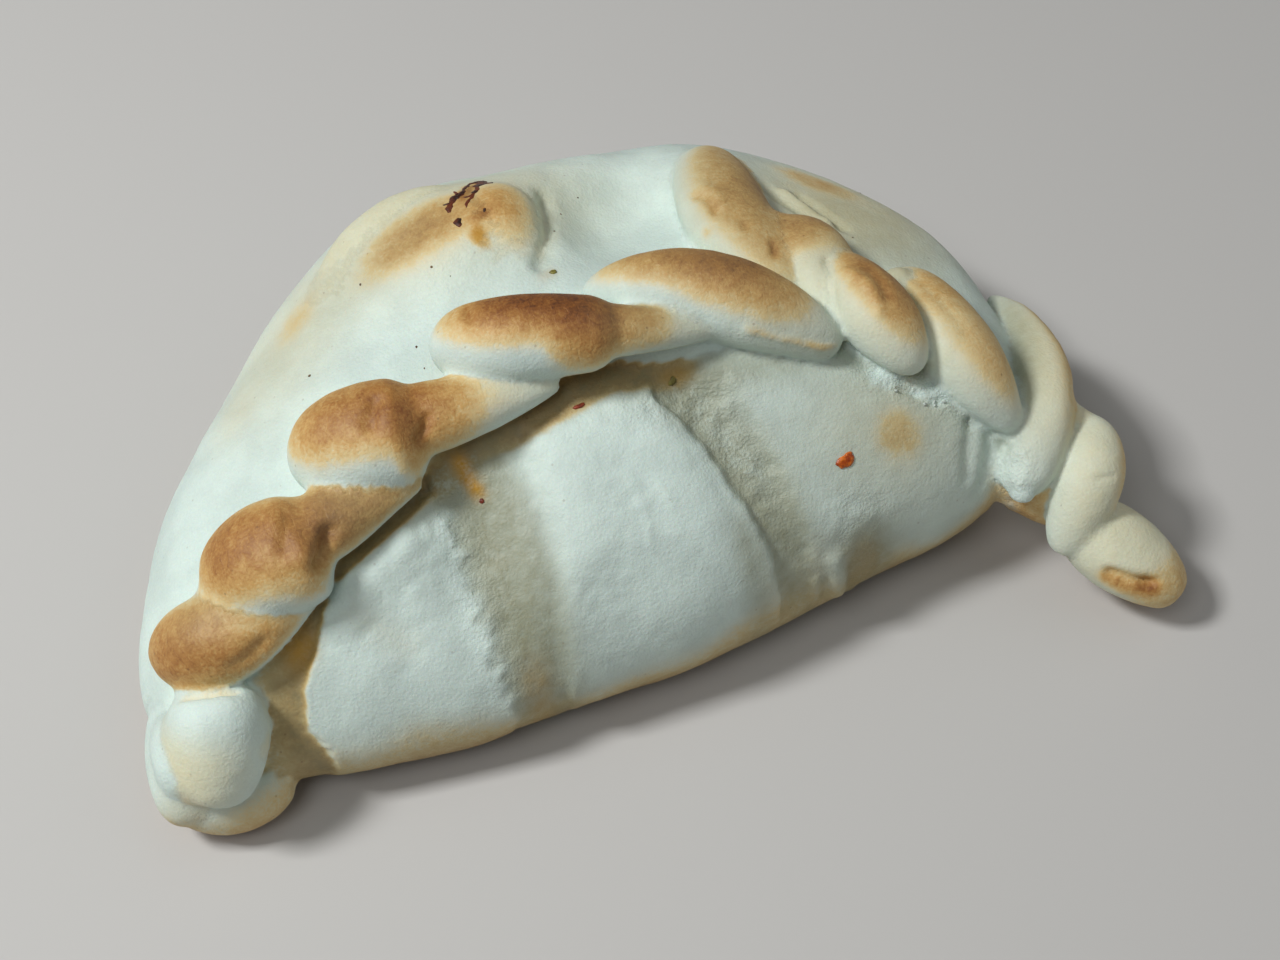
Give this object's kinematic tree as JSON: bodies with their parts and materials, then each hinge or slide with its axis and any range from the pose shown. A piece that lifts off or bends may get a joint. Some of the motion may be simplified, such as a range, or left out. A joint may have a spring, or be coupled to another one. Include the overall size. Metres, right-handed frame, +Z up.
{
  "type": "empanada",
  "caption": "Baked half-moon turnover with a plump smooth body, a thick hand-twisted rope edge along its crest and a rolled tail at one end, resting on its flat underside.",
  "frame": {"origin": "under the middle of the bounding box, on the flat resting face", "axes": "+X along the length, from the broad folded end to the rolled tail; +Y towards the full rounded back; +Z up"},
  "size_m": [0.1358, 0.0916, 0.0456],
  "materials": {
    "crust": "matt pale dough, browned on the crests of the folds"
  },
  "bodies": {
    "root": {"empanada": "crust"}
  },
  "joints": []
}
